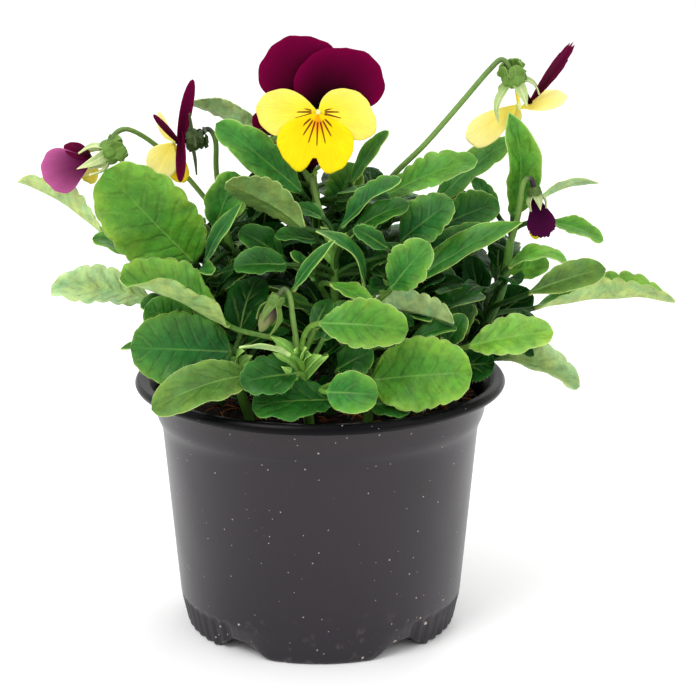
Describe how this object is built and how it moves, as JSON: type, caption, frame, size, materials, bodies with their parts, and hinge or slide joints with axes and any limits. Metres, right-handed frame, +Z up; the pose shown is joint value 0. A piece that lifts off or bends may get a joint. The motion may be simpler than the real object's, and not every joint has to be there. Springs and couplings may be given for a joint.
{
  "type": "potted horned violet",
  "caption": "Flowering horned violet with scalloped leaves and purple and yellow blooms, growing in soil in a thin round nursery pot with lobed feet.",
  "frame": {"origin": "on the ground, under the middle of the whole plant's outline; the pot's axis stands at x -0.008, y -0.0124", "axes": "+Z up out of the pot, -Y towards the side that the main bloom faces, +X to its right"},
  "size_m": [0.1843, 0.1298, 0.1692],
  "materials": {
    "pot_plastic": "satin",
    "soil": "matte",
    "foliage": "satin",
    "petal_purple": "matte",
    "petal_yellow": "matte"
  },
  "bodies": {
    "root": {"pot": "pot_plastic", "soil": "soil", "shoot_front_left": "foliage", "shoot_front_centre": "foliage", "shoot_front_right": "foliage", "shoot_right_front": "foliage", "shoot_right": "foliage", "shoot_middle_right": "foliage", "shoot_centre": "foliage", "shoot_centre_back": "foliage", "shoot_right_back": "foliage", "shoot_left": "foliage", "shoot_left_back": "foliage", "shoot_back_left": "foliage", "shoot_back": "foliage", "shoot_back_right": "foliage", "petals_main_purple": "petal_purple", "petals_main_yellow": "petal_yellow", "petals_left_purple": "petal_purple", "petals_left_yellow": "petal_yellow", "petals_edge_purple": "petal_purple", "petals_edge_yellow": "petal_yellow", "petals_right_purple": "petal_purple", "petals_right_yellow": "petal_yellow", "petals_half_open_purple": "petal_purple", "petals_half_open_yellow": "petal_yellow", "petals_hidden_purple": "petal_purple", "petals_young_purple": "petal_purple"}
  },
  "joints": []
}
